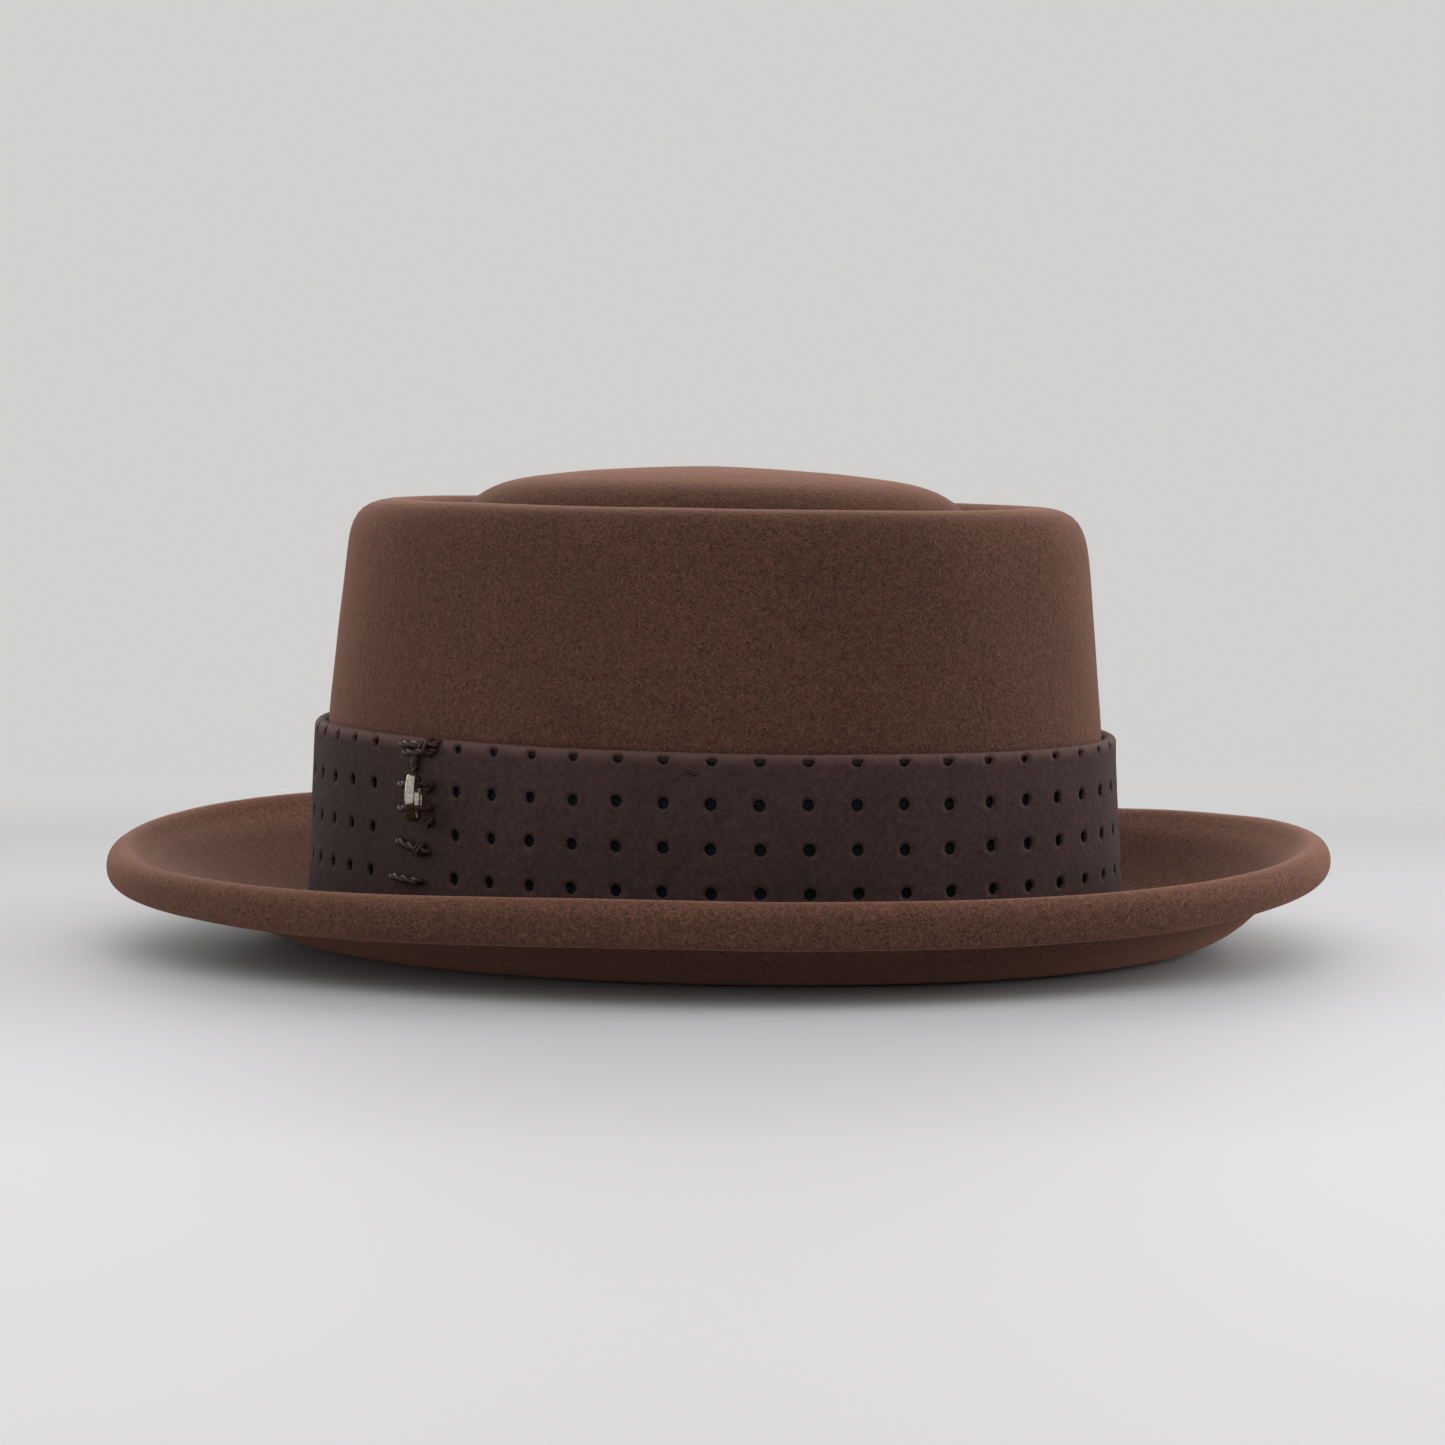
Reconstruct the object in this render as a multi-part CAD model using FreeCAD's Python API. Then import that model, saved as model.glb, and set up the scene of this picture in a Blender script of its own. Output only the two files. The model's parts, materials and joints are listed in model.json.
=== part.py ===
import FreeCAD, Part
import math
import os

# Pork pie hat, in millimetres. The hat stands on its brim: +Z is up, the front of the hat is at -X,
# the wearer's left side is at -Y, and the origin is on the table under the middle of the hat.

os.makedirs("parts", exist_ok=True)

# ---- driving dimensions -------------------------------------------------------------------------
crown_half_length = 105.2      # outside of the felt where the crown meets the brim, front to back
crown_half_width = 88.4        # the same, side to side
felt = 2.2                     # thickness of the felt
front_tilt = 0.018             # the crown is higher at the front, by this slope
left_tilt = 0.005              # and a little higher at the wearer's left
tilt_full_height = 25.0        # the slope is full from this height up
dome_inset = 32.0              # the dome in the top begins this far inside the crown's base outline
dome_centre = 96.0             # inset that stands for the very middle of the top
brim_flat = 7.0                # the brim is flat on the table as far out as this
bowl_end = 43.6                # and turns up as far out as this
bowl_height = 18.0             # height of the brim's underside there
crest_offset = 49.0            # the highest line of the rolled edge, outside the crown
even_rise = 0.2                # the rolled edge is a little higher all round
front_rise = 0.9               # higher again at the front
right_rise = 1.2               # and at the wearer's right
ends_rise = 1.3                # and a little higher at front and back than at the sides
corner_rise = 0.9              # front-left and back-right corners stand up
wave_rise = 1.7                # a slow wave of three crests runs round the edge
band_top = 52.3
band_bottom = 8.5
band_proud = 3.4               # how far the band stands out from the felt
cover = 1.1                    # thickness of the band's cover
hem_height = 8.0               # how far the cover is turned in behind itself
backing = 0.75                 # thickness of the dark strip behind the cover
soft_gap = 0.12                # air left between soft pieces
hole_radius = 1.45
hole_rows = [10.1, 20.2, 30.4, 40.6, 50.7]
columns = 54                   # of perforations, evenly spaced around the band
seam_angle = -94.0             # where the band's ends are sewn together, in degrees from +X
seam_gap_back = 14.8           # from the seam to the first column on its back side
seam_gap_front = 17.2          # and on its front side
seam_thread = 1.7              # diameter of the seam thread
loop_thread = 1.2              # and of the thread that holds the ring
ring_outer = 5.8               # radius of the metal ring
ring_inner = 4.8
ring_width = 2.2
ring_height = 39.1
ring_angle = -92.2              # in degrees from +X
ring_hinge = 1.2               # the line the ring swings about stands this far out from the band
ring_lean = 40.0               # how far the ring leans towards the back of the hat, from square
loop_spread = 2.8              # the loops hold the ring this far above and below its middle
loop_radius = 3.5              # of the loops' centre line
tack_angle = -52.0
leather = 1.1
sweatband_gap = 0.95           # from the felt to the sweatband; the lining's edge is between them
sweatband_low = 4.6
sweatband_high = 37.0
welt_radius = 1.0              # of the round welt along the sweatband's lower edge
sweat_stitches = 72            # in one row around the sweatband
stitch_thread = 0.6
stitch_length = 3.0
lining = 0.5
lining_gap = 0.25
lining_low = 30.0
lining_high = 92.6
stations = 36                  # points around each outline


# ---- the hat's outline --------------------------------------------------------------------------
def half_sizes(offset):
    # half length and half width of the outline this far outside the crown's base
    if offset >= -dome_inset:
        return crown_half_length + offset, crown_half_width + offset
    share = (dome_centre + offset) / (dome_centre - dome_inset)
    return (crown_half_length - dome_inset) * share, (crown_half_width - dome_inset) * share


def limited(value):
    return max(0.0, min(1.0, value))


def place(offset, height, angle):
    # a point of the hat: outside the crown's base outline by offset, at a height, around by angle
    half_length, half_width = half_sizes(offset)
    x = half_length * math.cos(angle)
    y = half_width * math.sin(angle)
    tilt = limited(height / tilt_full_height) * limited(1.0 - offset / 8.0)
    rise = even_rise - front_rise * math.cos(angle) + right_rise * math.sin(angle)
    rise = rise + ends_rise * math.cos(2.0 * angle) + corner_rise * math.sin(2.0 * angle)
    rise = rise - wave_rise * math.cos(3.0 * angle)
    share = limited((offset - 8.0) / (crest_offset - 8.0))
    z = height - tilt * (front_tilt * x + left_tilt * y) + share ** 2 * rise
    return FreeCAD.Vector(x, y, z)


def ring(outline):
    # closed smooth wire; outline gives (offset, height) for an angle
    points = []
    for number in range(stations):
        angle = 2.0 * math.pi * number / stations
        offset, height = outline(angle)
        points.append(place(offset, height, angle))
    curve = Part.BSplineCurve()
    curve.interpolate(points, PeriodicFlag=True)
    return Part.Wire(curve.toShape())


def level_ring(offset, height):
    return ring(lambda angle: (offset, height))


def skin(wires):
    # narrow bands, each between two neighbouring wires
    faces = []
    for lower, upper in zip(wires[:-1], wires[1:]):
        faces.append(Part.makeRuledSurface(lower.Edges[0], upper.Edges[0]))
    return faces


def solid_from(faces):
    shape = Part.makeCompound(faces)
    shape.sewShape()
    solid = Part.Solid(shape.Shells[0])
    if solid.Volume < 0.0:
        solid.reverse()
    return solid


def export(name, shape):
    shape.exportStep("parts/" + name + ".step")
    box = shape.BoundBox
    sizes = "%.1f x %.1f x %.1f" % (box.XLength, box.YLength, box.ZLength)
    print(name, "solids", len(shape.Solids), "valid", shape.isValid(), "volume %.1f" % shape.Volume, sizes)


# ---- felt body ----------------------------------------------------------------------------------
def bowl(offset, angle):
    # height and slope of the brim's underside; the back turns up later and more sharply
    power = max(1.25, 2.15 + 1.05 * math.cos(angle) + 0.7 * math.sin(angle))
    span = bowl_end - brim_flat
    along = max(0.0, (offset - brim_flat) / span)
    return bowl_height * along ** power, power * bowl_height / span * along ** (power - 1.0)


def under(offset):
    return ring(lambda angle: (offset, bowl(offset, angle)[0]))


def over(offset):
    def outline(angle):
        height, slope = bowl(offset, angle)
        across = math.hypot(1.0, slope)
        return offset - felt * slope / across, height + felt / across
    return ring(outline)


# the rolled edge, outside and inside, from the brim over the crest to the cut lip
roll_outside = [(44.4, 20.9), (45.6, 22.3), (47.2, 23.4), (49.0, 23.8), (51.0, 23.2), (52.5, 21.6),
                (53.2, 19.4), (53.4, 17.0), (53.1, 15.0), (52.4, 13.4)]
roll_inside = [(45.2, 19.8), (46.6, 21.0), (48.2, 21.5), (49.7, 21.1), (50.8, 19.8), (51.4, 17.6),
               (51.2, 15.2), (50.5, 13.0)]
bowl_offsets = [11.0, 16.0, 21.0, 26.0, 31.0, 36.0, 40.0, bowl_end]
# where the crown turns into the brim
break_outside = [(0.05, 8.5), (0.4, 6.6), (1.4, 4.6), (3.2, 3.05), (5.6, 2.35), (8.0, felt)]
break_inside = [(-2.15, 8.6), (-1.75, 5.6), (-0.6, 3.1), (1.6, 1.1), (4.4, 0.15), (7.5, 0.0)]
# the crown's outside as (inset, height): wall, rounded rim, groove, dome
crown_outside = [(1.0, 30.0), (2.1, 55.0), (3.9, 75.0), (5.9, 92.0), (6.7, 97.0), (8.2, 101.2),
                 (10.8, 104.6), (14.2, 106.6), (18.4, 107.3), (22.6, 106.4), (25.8, 104.2),
                 (28.2, 101.6), (30.4, 99.9), (32.6, 100.7), (34.2, 102.7), (35.8, 105.0),
                 (38.2, 107.5), (42.6, 109.9), (47.0, 111.3), (52.0, 112.2), (65.6, 113.7),
                 (81.8, 114.7), (93.0, 115.1)]


def spaced_run(run, step):
    # points along a smooth curve through the run, about one step apart, so that a skin stays even
    curve = Part.BSplineCurve()
    curve.interpolate([FreeCAD.Vector(inset, height, 0.0) for inset, height in run])
    points = curve.discretize(Number=int(curve.length() / step) + 1)
    return [(point.x, point.y) for point in points]


def inner_run(run, depth):
    # the same run, moved in square to itself by depth
    moved = []
    for number, (inset, height) in enumerate(run):
        before = run[max(0, number - 1)]
        after = run[min(len(run) - 1, number + 1)]
        across = after[0] - before[0]
        up = after[1] - before[1]
        size = math.hypot(across, up)
        moved.append((inset + depth * up / size, height - depth * across / size))
    return moved


crown_outside = spaced_run([(-0.05, 8.5)] + crown_outside, 3.2)[1:]
crown_inside = inner_run(crown_outside, felt)
crown_inside[-1] = (crown_outside[-1][0], crown_outside[-1][1] - felt)

lip_out = level_ring(*roll_outside[-1])
lip_in = level_ring(*roll_inside[-1])
break_top = level_ring(*break_outside[0])
top_out = level_ring(-crown_outside[-1][0], crown_outside[-1][1])
top_in = level_ring(-crown_inside[-1][0], crown_inside[-1][1])

brim_upper = [break_top]
brim_upper += [level_ring(*pair) for pair in break_outside[1:]]
brim_upper += [over(offset) for offset in bowl_offsets]
brim_upper += [level_ring(*pair) for pair in roll_outside[:-1]]
brim_upper += [lip_out]

crown_upper = [break_top]
crown_upper += [level_ring(-inset, height) for inset, height in crown_outside[:-1]]
crown_upper += [top_out]

underside = [top_in]
underside += [level_ring(-inset, height) for inset, height in reversed(crown_inside[:-1])]
underside_wall = level_ring(*break_inside[0])
underside += [underside_wall]

brim_lower = [underside_wall]
brim_lower += [level_ring(*pair) for pair in break_inside[1:]]
brim_lower += [under(offset) for offset in bowl_offsets]
brim_lower += [level_ring(*pair) for pair in roll_inside[:-1]]
brim_lower += [lip_in]

felt_faces = skin(brim_upper) + skin(crown_upper) + skin(underside) + skin(brim_lower)
felt_faces += skin([lip_out, lip_in])
felt_faces += [Part.Face(top_out), Part.Face(top_in)]
felt_body = solid_from(felt_faces)
export("felt_body", felt_body)

# ---- band ---------------------------------------------------------------------------------------
def wall_offset(height):
    # how far the felt's outside lies from the crown's base outline at this height, on the wall
    run = [(0.0, 8.5)] + crown_outside
    if height <= run[0][1]:
        return 0.0
    for lower, upper in zip(run[:-1], run[1:]):
        if lower[1] <= height <= upper[1]:
            share = (height - lower[1]) / (upper[1] - lower[1])
            return -(lower[0] + share * (upper[0] - lower[0]))


def closed_ring(profile):
    # a ring of material; the profile is a closed loop of (distance out from the felt, height)
    wires = [level_ring(wall_offset(height) + out, height) for out, height in profile]
    wires.append(wires[0])
    return solid_from(skin(wires))


def arc_points(out, height, radius, start, end, steps):
    points = []
    for number in range(steps + 1):
        angle = math.radians(start + (end - start) * number / steps)
        points.append((out + radius * math.cos(angle), height + radius * math.sin(angle)))
    return points


fold_radius = (band_proud - soft_gap) / 2.0
fold_out = soft_gap + fold_radius
top_fold = band_top - fold_radius
bottom_fold = band_bottom + fold_radius
inner_fold = fold_radius - cover
wall_steps = [bottom_fold + (top_fold - bottom_fold) * number / 6.0 for number in range(7)]
cover_profile = [(band_proud, height) for height in wall_steps[:-1]]
cover_profile += arc_points(fold_out, top_fold, fold_radius, 0.0, 180.0, 6)
cover_profile += [(soft_gap, band_top - hem_height), (soft_gap + cover, band_top - hem_height)]
cover_profile += arc_points(fold_out, top_fold, inner_fold, 180.0, 0.0, 4)
cover_profile += [(band_proud - cover, height) for height in reversed(wall_steps[1:-1])]
cover_profile += arc_points(fold_out, bottom_fold, inner_fold, 0.0, -180.0, 4)
cover_profile += [(soft_gap + cover, band_bottom + hem_height), (soft_gap, band_bottom + hem_height)]
cover_profile += arc_points(fold_out, bottom_fold, fold_radius, -180.0, 0.0, 6)[:-1]
band_cover = closed_ring(cover_profile)

backing_in = 2.0 * soft_gap + cover
backing_low = band_bottom + 2.2
backing_high = band_top - 2.2
backing_steps = [backing_low + (backing_high - backing_low) * number / 6.0 for number in range(7)]
backing_profile = [(backing_in + backing, height) for height in backing_steps]
backing_profile += [(backing_in, height) for height in reversed(backing_steps)]
band_backing = closed_ring(backing_profile)
export("band_backing", band_backing)


def band_point(angle, height, lift):
    # a point on the band's outside, lifted off it; angle in degrees
    return place(wall_offset(height) + band_proud + lift, height, math.radians(angle))


def outward(angle):
    # level direction straight out from the band
    half_length, half_width = half_sizes(wall_offset(30.0) + band_proud)
    turn = math.radians(angle)
    return FreeCAD.Vector(math.cos(turn) / half_length, math.sin(turn) / half_width, 0.0).normalize()


# angles of equal steps along the band, found by walking round it
walk = [0.0]
fine = 3600
for number in range(fine):
    before = band_point(360.0 * number / fine, 30.0, 0.0)
    after = band_point(360.0 * (number + 1) / fine, 30.0, 0.0)
    walk.append(walk[-1] + before.distanceToPoint(after))


def angle_along(distance):
    # the angle in degrees that lies this far along the band from the seam, towards the back
    start = walk[int(round((seam_angle % 360.0) / 360.0 * fine))]
    goal = (start + distance) % walk[-1]
    low = 0
    high = fine
    while high - low > 1:
        middle = (low + high) // 2
        if walk[middle] <= goal:
            low = middle
        else:
            high = middle
    share = (goal - walk[low]) / (walk[high] - walk[low])
    return 360.0 * (low + share) / fine


column_pitch = (walk[-1] - seam_gap_back - seam_gap_front) / (columns - 1)
print("band length %.1f, column pitch %.2f" % (walk[-1], column_pitch))
punches = []
for column in range(columns):
    angle = angle_along(seam_gap_back + column_pitch * column)
    away = outward(angle)
    for height in hole_rows:
        start = band_point(angle, height, 2.0)
        punches.append(Part.makeCylinder(hole_radius, 2.0 + cover + 0.1, start, away * -1.0))
band_cover = band_cover.cut(Part.makeCompound(punches))
export("band_cover", band_cover)


# ---- seam thread --------------------------------------------------------------------------------
def strand(start, end, diameter):
    # a short straight stitch with round ends
    radius = diameter / 2.0
    away = end - start
    rod = Part.makeCylinder(radius, away.Length, start, away)
    return rod.fuse([Part.makeSphere(radius, start), Part.makeSphere(radius, end)]).removeSplitter()


def seam_strand(first, second, diameter):
    # each end is (distance along the band from the seam, height)
    lift = diameter / 2.0 + 0.15
    start = band_point(angle_along(first[0]), first[1], lift)
    end = band_point(angle_along(second[0]), second[1], lift)
    return strand(start, end, diameter)


export("seam_stitch_top", Part.makeCompound([seam_strand((-3.6, 50.6), (8.2, 51.6), seam_thread),
                                             seam_strand((-2.3, 49.0), (7.3, 50.0), seam_thread)]))
export("seam_chain", seam_strand((1.5, 47.6), (0.9, 45.2), seam_thread))
export("seam_stitch_middle", seam_strand((-3.7, 28.1), (6.1, 26.3), seam_thread))
export("seam_stitch_bottom", seam_strand((-5.7, 19.8), (3.9, 19.3), seam_thread))
tack_start = band_point(tack_angle - 0.5, 47.9, 0.5)
tack_end = band_point(tack_angle + 0.5, 47.5, 0.5)
export("band_tack", strand(tack_start, tack_end, 0.7))


# ---- metal ring and its two loops ---------------------------------------------------------------
up = FreeCAD.Vector(0.0, 0.0, 1.0)
away = outward(ring_angle)
along = up.cross(away)
hinge = band_point(ring_angle, ring_height, 0.0) + away * ring_hinge
lean = math.radians(ring_lean)
reach = away * math.cos(lean) + along * math.sin(lean)
ring_middle = hinge + reach * ring_outer
ring_axis = reach.cross(up)
ring_start = ring_middle - ring_axis * (ring_width / 2.0)
tube = Part.makeCylinder(ring_outer, ring_width, ring_start, ring_axis)
bore = Part.makeCylinder(ring_inner, ring_width, ring_start, ring_axis)
trim_ring = tube.cut(bore)
rims = [edge for edge in trim_ring.Edges if edge.Curve.TypeId == "Part::GeomCircle"]
trim_ring = trim_ring.makeFillet(0.3, rims)
export("trim_ring", trim_ring)
print("ring hinge", [round(value / 1000.0, 6) for value in hinge])
print("ring middle", [round(value / 1000.0, 6) for value in ring_middle])
print("ring axis", [round(value, 5) for value in ring_axis])


def ring_loop(rise):
    # half a hoop around the hinge line, on two short legs that stop just short of the band
    middle = hinge + up * rise
    foot = middle - along * loop_radius
    section = Part.Face(Part.Wire(Part.makeCircle(loop_thread / 2.0, foot, away)))
    shape = section.revolve(middle, up, 180.0 if along.cross(away).z < 0.0 else -180.0)
    leg = ring_hinge - 0.25
    for side in (-1.0, 1.0):
        start = middle + along * (side * loop_radius)
        shape = shape.fuse(Part.makeCylinder(loop_thread / 2.0, leg, start, away * -1.0))
    return shape.removeSplitter()


export("ring_loop_upper", ring_loop(loop_spread))
export("ring_loop_lower", ring_loop(-loop_spread))


# ---- inside the crown ---------------------------------------------------------------------------
def inside(depth):
    # distance out from the felt's outside, for something this deep inside the felt's inner face
    return -felt - depth


sweat_steps = [sweatband_low + (sweatband_high - sweatband_low) * number / 4.0 for number in range(5)]
sweat_profile = [(inside(sweatband_gap), height) for height in sweat_steps]
sweat_profile += [(inside(sweatband_gap + leather), height) for height in reversed(sweat_steps)]
export("sweatband", closed_ring(sweat_profile))

welt_out = inside(sweatband_gap + leather / 2.0)
welt_height = sweatband_low - welt_radius - 0.15
welt_profile = arc_points(welt_out, welt_height, welt_radius, 0.0, 330.0, 11)
export("sweatband_welt", closed_ring(welt_profile))

stitches = []
for number in range(sweat_stitches):
    turn = 2.0 * math.pi * number / sweat_stitches
    half_turn = stitch_length / (crown_half_length + crown_half_width)
    depth = inside(sweatband_gap + leather + 0.15 + stitch_thread / 2.0)
    start = place(depth, 6.6, turn - half_turn)
    end = place(depth, 6.6, turn + half_turn)
    run = end - start
    stitches.append(Part.makeCylinder(stitch_thread / 2.0, run.Length, start, run))
export("sweatband_stitches", Part.makeCompound(stitches))

lining_steps = [lining_low + (lining_high - lining_low) * number / 10.0 for number in range(11)]
side_profile = [(inside(lining_gap), height) for height in lining_steps]
side_profile += [(inside(lining_gap + lining), height) for height in reversed(lining_steps)]
export("lining_side", closed_ring(side_profile))

tip_edge = level_ring(wall_offset(lining_high) + inside(0.9), lining_high + 0.5)
export("lining_tip", Part.Face(tip_edge).extrude(FreeCAD.Vector(0.0, 0.0, lining)))
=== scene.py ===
# %% [markdown]
# # A felt pork pie hat
# The hat is one shell of brown felt with a flat-topped crown and a brim whose edge is rolled over.
# A folded, perforated band goes round the crown. Its ends are sewn together at the wearer's left, and
# a small metal ring hangs there from two loops of waxed thread. The hat stands on its brim with its
# front at -X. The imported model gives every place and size, so it is loaded first.

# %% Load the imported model
import bisect
import json
import math
import random

import bmesh
import bpy
from mathutils import Matrix, Vector, noise


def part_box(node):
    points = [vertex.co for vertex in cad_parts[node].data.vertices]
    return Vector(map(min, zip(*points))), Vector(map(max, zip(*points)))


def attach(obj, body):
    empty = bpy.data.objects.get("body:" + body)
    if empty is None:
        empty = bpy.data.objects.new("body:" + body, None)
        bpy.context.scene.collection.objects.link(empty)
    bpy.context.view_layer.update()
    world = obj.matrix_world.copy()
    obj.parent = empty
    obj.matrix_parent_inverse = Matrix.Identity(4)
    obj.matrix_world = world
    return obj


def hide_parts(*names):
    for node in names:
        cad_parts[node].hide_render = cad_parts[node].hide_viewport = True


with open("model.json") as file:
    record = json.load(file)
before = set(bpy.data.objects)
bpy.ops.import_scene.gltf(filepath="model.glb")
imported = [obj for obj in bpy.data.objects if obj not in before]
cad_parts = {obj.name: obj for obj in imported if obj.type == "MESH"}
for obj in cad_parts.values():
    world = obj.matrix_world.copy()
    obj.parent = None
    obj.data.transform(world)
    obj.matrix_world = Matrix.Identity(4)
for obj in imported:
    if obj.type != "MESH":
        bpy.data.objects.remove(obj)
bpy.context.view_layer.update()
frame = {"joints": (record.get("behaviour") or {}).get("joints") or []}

# %% [markdown]
# ## The outline of the hat
# A hat block is an oval, and every level of the hat is that oval made larger or smaller. So one
# function turns three numbers into a point: how far outside the crown's foot, how high, and how far
# round. The sizes are in millimetres, as a hatter gives them, and the points come out in metres.

# %% The oval and its small leans
MM = 0.001
CROWN_LENGTH = 105.2      # half length of the crown's foot
CROWN_WIDTH = 88.4        # half its width
TOP_INSET = 32.0          # the dome starts this far inside the foot
TOP_MIDDLE = 96.0         # inset of the very middle of the top
FELT = 2.2
CREST = 49.0              # how far out the highest line of the brim's edge lies
CREST_HEIGHT = 23.8       # and its height
BOWL_START, BOWL_WIDTH, BOWL_RISE = 7.0, 36.6, 18.0    # where the brim begins to turn up, how far, how high
FRONT_TILT, LEFT_TILT = 0.018, 0.005    # slopes of the crown
SIDE_LEAN = 0.85          # the crown's top sits this far over, along X and along Y


def limited(value):
    return max(0.0, min(1.0, value))


def half_sizes(offset):
    if offset >= -TOP_INSET:
        return CROWN_LENGTH + offset, CROWN_WIDTH + offset
    share = (TOP_MIDDLE + offset) / (TOP_MIDDLE - TOP_INSET)
    return (CROWN_LENGTH - TOP_INSET) * share, (CROWN_WIDTH - TOP_INSET) * share


def place(offset, height, turn):
    half_length, half_width = half_sizes(offset)
    x = half_length * math.cos(turn)
    y = half_width * math.sin(turn)
    lean = limited(height / 25.0) * limited(1.0 - offset / 8.0)
    edge = limited((offset - 8.0) / (CREST - 8.0))
    # the brim's edge rises and falls slowly as it goes round
    rise = 0.2 - 0.9 * math.cos(turn) + 1.2 * math.sin(turn) + 1.3 * math.cos(2.0 * turn)
    rise += 0.9 * math.sin(2.0 * turn) - 1.7 * math.cos(3.0 * turn)
    over = SIDE_LEAN * limited((height - 45.0) / 45.0)
    up = height - lean * (FRONT_TILT * x + LEFT_TILT * y) + edge ** 2 * rise
    return Vector((x + over, y + over, up)) * MM


print("front of the crown at", [round(value, 4) for value in place(0.0, 30.0, math.pi)])

# %% [markdown]
# ## Ways of working that many pieces share
# A ring of edges pulled from one level of the hat to the next gives clean four-sided faces that follow
# the oval. It starts as a circle, and each vertex remembers its own turn round the hat in a layer,
# which extruding copies to the next ring. Each piece is then given a material and tied to its body.


# %% Pull a ring of edges along a profile
def pulled_ring(count, stations, where, closed=False):
    """where(step, turn) gives the place of each vertex of each of the count rings."""
    bm = bmesh.new()
    bmesh.ops.create_circle(bm, segments=stations, radius=1.0)
    turn_of = bm.verts.layers.float.new("turn")
    for vert in bm.verts:
        vert[turn_of] = math.atan2(vert.co.y, vert.co.x) % (2.0 * math.pi)
    ring = bm.edges[:]
    first = ring
    for step in range(count):
        if step:
            made = bmesh.ops.extrude_edge_only(bm, edges=ring)["geom"]
            fresh = {item for item in made if isinstance(item, bmesh.types.BMVert)}
            ring = [item for item in made if isinstance(item, bmesh.types.BMEdge)
                    and item.verts[0] in fresh and item.verts[1] in fresh]
        for vert in {vert for edge in ring for vert in edge.verts}:
            vert.co = where(step, vert[turn_of])
    if closed:
        bmesh.ops.bridge_loops(bm, edges=first + ring)
    return bm, first, ring


# %% Turn a bmesh into a finished piece
def finish_piece(bm, name, material, body, smooth=True):
    bmesh.ops.recalc_face_normals(bm, faces=bm.faces)
    mesh = bpy.data.meshes.new(name)
    bm.to_mesh(mesh)
    bm.free()
    piece = bpy.data.objects.new(name, mesh)
    bpy.context.scene.collection.objects.link(piece)
    mesh.polygons.foreach_set("use_smooth", [smooth] * len(mesh.polygons))
    mesh.materials.append(material)
    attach(piece, body)
    print(name, len(mesh.polygons), "faces")
    return piece


def add_modifier(piece, kind, **settings):
    modifier = piece.modifiers.new(kind.title(), kind)
    for name, value in settings.items():
        setattr(modifier, name, value)
    return modifier


# %% [markdown]
# ## Helpers for materials
# Colours are written as they look on a screen and turned to the linear values that the renderer needs.
# One function adds a node: it takes the node's settings, and the values or links of its inputs.


# %% Colour and node helpers
def colour(code):
    parts = [int(code[place:place + 2], 16) / 255.0 for place in (0, 2, 4)]
    return [part / 12.92 if part <= 0.04045 else ((part + 0.055) / 1.055) ** 2.4
            for part in parts] + [1.0]


def add(material, kind, inputs, **settings):
    tree = material.node_tree
    node = tree.nodes.new("ShaderNode" + kind)
    for name, value in settings.items():
        setattr(node, name, value)
    for name, value in inputs.items():
        if isinstance(value, bpy.types.NodeSocket):
            tree.links.new(value, node.inputs[name])
        else:
            node.inputs[name].default_value = value
    return node


def new_material(name):
    material = bpy.data.materials.new(name)
    material.use_nodes = True
    shader = material.node_tree.nodes["Principled BSDF"]
    spot = material.node_tree.nodes.new("ShaderNodeTexCoord")
    return material, shader, spot


def set_inputs(material, shader, **inputs):
    for name, value in inputs.items():
        socket = shader.inputs[name.replace("_", " ")]
        if isinstance(value, bpy.types.NodeSocket):
            material.node_tree.links.new(value, socket)
        else:
            socket.default_value = value


def blend_colours(material, amount, first, second, low=0.0, high=1.0):
    ramp = add(material, "ValToRGB", {"Fac": amount})
    ramp.color_ramp.elements[0].position = low
    ramp.color_ramp.elements[0].color = first
    ramp.color_ramp.elements[1].position = high
    ramp.color_ramp.elements[1].color = second
    return ramp.outputs["Color"]


def mixed_colour(material, amount, first, second, **settings):
    return add(material, "MixRGB", {"Fac": amount, "Color1": first, "Color2": second},
               **settings).outputs["Color"]


def grey(value):
    return [value, value, value, 1.0]


def grain(material, spot, size_mm, detail=2.0, roughness=0.5, distortion=0.0):
    """Noise whose patches are about size_mm across."""
    return add(material, "TexNoise", {"Vector": spot, "Scale": 1.0 / (size_mm * MM), "Detail": detail,
                                      "Roughness": roughness, "Distortion": distortion})


# %% [markdown]
# ## Felt
# Fur felt is matted fibre, brushed so that short hairs stand off the surface. It has no gloss, but the
# hairs catch light at grazing angles, which a sheen layer gives. The hairs' dye isn't all one colour:
# close up there are darker gaps, lighter hairs and a few reddish ones. The grain is about 0.6 mm across,
# a little coarser than real so that it shows. The rolled edge, 18 to 35 mm up, is painted lighter: painted
# light.

# %% Brushed fur felt
felt_material, shader, spot = new_material("brushed_fur_felt")
here = spot.outputs["Object"]
hairs = grain(felt_material, here, 0.6, 5.0, 0.8, 1.5)
clumps = grain(felt_material, here, 1.7, 3.0, 0.65)
cloud = grain(felt_material, here, 38.0, 2.0, 0.5)
red_hairs = grain(felt_material, here, 1.3, 3.0, 0.65, 2.5)
pale_hairs = add(felt_material, "TexNoise", {"Vector": here, "Scale": 1.0 / (1.1 * MM), "Detail": 4.0,
                                             "Roughness": 0.8, "Distortion": 3.5})
base = blend_colours(felt_material, hairs.outputs["Fac"], colour("32221c"), colour("785547"), 0.4, 0.62)
clump_tone = blend_colours(felt_material, clumps.outputs["Fac"], grey(0.84), [1.14, 1.13, 1.12, 1.0],
                           0.3, 0.7)
base = mixed_colour(felt_material, 1.0, base, clump_tone, blend_type="MULTIPLY")
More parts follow.
